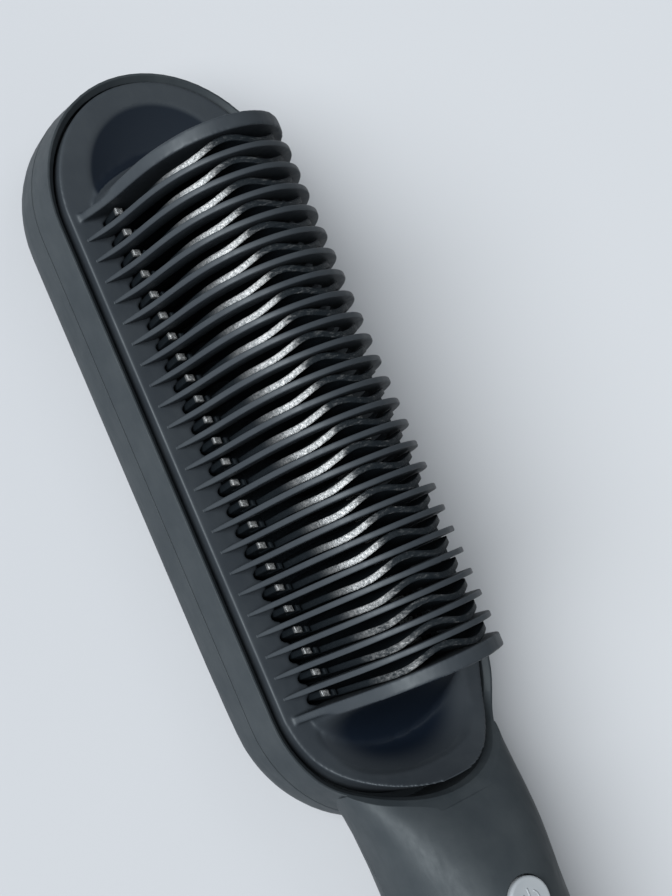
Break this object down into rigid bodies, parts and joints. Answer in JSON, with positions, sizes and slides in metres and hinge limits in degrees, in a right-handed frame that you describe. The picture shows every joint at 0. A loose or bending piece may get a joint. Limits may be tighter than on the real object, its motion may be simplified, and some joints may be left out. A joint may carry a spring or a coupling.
{
  "type": "heated styling brush",
  "caption": "Heated styling brush with arched guard fins over a heated metal comb, a round power button on the neck and a swivelling cord gland.",
  "frame": {"origin": "centre of the underside of the bounding box, on the plane of the brush's back", "axes": "+X along the brush to the tip of the head, +Y to its left side, +Z the way the comb points"},
  "size_m": [0.284, 0.0504, 0.0464],
  "materials": {
    "housing": "fine satin moulding, dark blue-grey",
    "guard": "satin moulding, dark blue-grey",
    "comb_metal": "dark coated casting, worn bright on the crests",
    "carrier": "heat resistant black moulding",
    "heater": "plain extruded case",
    "spring_steel": "rolled strip",
    "mica": "flaky sheet",
    "fuse_can": "drawn can",
    "clip_steel": "bent strip",
    "sensor_resin": "cast resin",
    "screw_steel": "zinc plated",
    "button": "light grey satin",
    "switch_case": "black moulding",
    "plunger": "red moulding",
    "board": "solder mask",
    "lamp": "clear lens",
    "capacitor_case": "dipped resin",
    "semiconductor": "moulded package with a metal tab",
    "terminal_plastic": "green moulding",
    "tail": "fine satin moulding",
    "gland": "black soft moulding",
    "swivel_plastic": "natural nylon",
    "contact_brass": "stamped strip"
  },
  "bodies": {
    "housing": {"front_shell": "housing", "rear_shell": "housing", "comb_guard": "guard", "heater_comb": "comb_metal", "heater_carrier": "carrier", "heating_element": "heater", "pressure_spring": "spring_steel", "insulation_sheet": "mica", "thermal_fuse": "fuse_can", "fuse_clip": "clip_steel", "temperature_sensor": "sensor_resin", "comb_screws": "screw_steel", "switch_body": "switch_case", "control_board": "board", "status_led": "lamp", "film_capacitor": "capacitor_case", "triac": "semiconductor", "terminal_block": "terminal_plastic", "board_screws": "screw_steel", "shell_screws": "screw_steel", "tail_cap": "tail", "swivel_base": "swivel_plastic", "swivel_contacts": "contact_brass"},
    "button": {"power_button": "button"},
    "plunger": {"switch_plunger": "plunger"},
    "gland": {"swivel_gland": "gland"}
  },
  "joints": [
    {"name": "button_press", "type": "slide", "parent": "housing", "child": "button", "axis": [0, 0, -1], "range_m": [0, 0.0005], "stiffness_N_per_m": 400, "springref_m": -0.0005},
    {"name": "plunger_travel", "type": "slide", "parent": "housing", "child": "plunger", "axis": [0, 0, -1], "range_m": [0, 0.0005], "stiffness_N_per_m": 100, "springref_m": -0.0005},
    {"name": "gland_swivel", "type": "hinge", "parent": "housing", "child": "gland", "pos_m": [-0.13375, 0, 0.0188], "axis": [1, 0, 0], "continuous": true}
  ],
  "couplings": [
    {"joint": "plunger_travel", "follows": "button_press", "ratio": 1}
  ]
}
